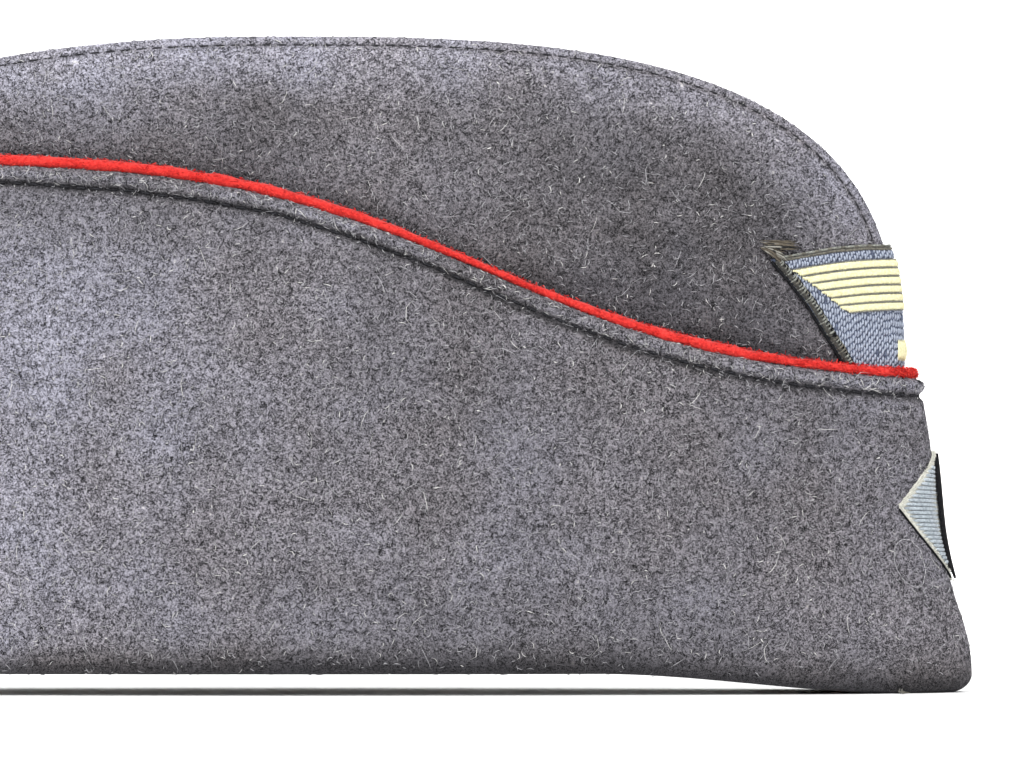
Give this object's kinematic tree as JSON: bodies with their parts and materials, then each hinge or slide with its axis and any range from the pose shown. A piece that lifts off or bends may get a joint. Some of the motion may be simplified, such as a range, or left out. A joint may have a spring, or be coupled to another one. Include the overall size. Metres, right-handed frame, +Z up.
{
  "type": "garrison cap",
  "caption": "Fore-and-aft wool cap that folds flat along its ridge, with a stiffened turn-up curtain, piped edge, cloth badges and a sweatband.",
  "frame": {"origin": "on the surface the cap stands on, below the middle of its box", "axes": "+X towards the front, +Y towards the wearer's left, +Z up to the ridge"},
  "size_m": [0.2838, 0.0464, 0.1342],
  "materials": {
    "wool_cloth": "milled blue-grey wool, mottled, with loose light and dark fibres",
    "wool_facing": "the same wool, on the curtain's inner face",
    "interlining_canvas": "stiff undyed canvas",
    "lining_cloth": "plain twill lining, slight sheen",
    "sweatband_leather": "smooth brown leather",
    "piping_cloth": "bright red wool, slightly fuzzy",
    "patch_twill": "blue-grey twill with an overcast dark edge",
    "badge_cream": "woven cream thread",
    "lozenge_rib": "ribbed grey-blue cloth",
    "badge_black": "black cloth"
  },
  "bodies": {
    "left_half": {"crown_panel_left": "wool_cloth", "curtain_outer_left": "wool_cloth", "curtain_facing_left": "wool_facing", "curtain_interlining_left": "interlining_canvas", "lining_left": "lining_cloth", "sweatband_left": "sweatband_leather", "piping_left": "piping_cloth", "crown_ridge_seam": "wool_cloth", "curtain_front_seam": "wool_cloth", "curtain_rear_seam": "wool_cloth", "patch_ground": "patch_twill", "patch_field": "badge_cream", "lozenge_ground": "badge_cream", "lozenge_field": "lozenge_rib", "lozenge_bar": "badge_black"},
    "right_half": {"crown_panel_right": "wool_cloth", "curtain_outer_right": "wool_cloth", "curtain_facing_right": "wool_facing", "curtain_interlining_right": "interlining_canvas", "lining_right": "lining_cloth", "sweatband_right": "sweatband_leather", "piping_right": "piping_cloth"}
  },
  "joints": [
    {"name": "ridge_fold", "type": "hinge", "parent": "left_half", "child": "right_half", "pos_m": [0, 0, 0.1345], "axis": [-1, 0, 0], "range_deg": [0, 24], "stiffness_Nm_per_rad": 0.02, "deforming": ["patch_ground", "patch_field", "lozenge_ground", "lozenge_field", "lozenge_bar"]}
  ]
}
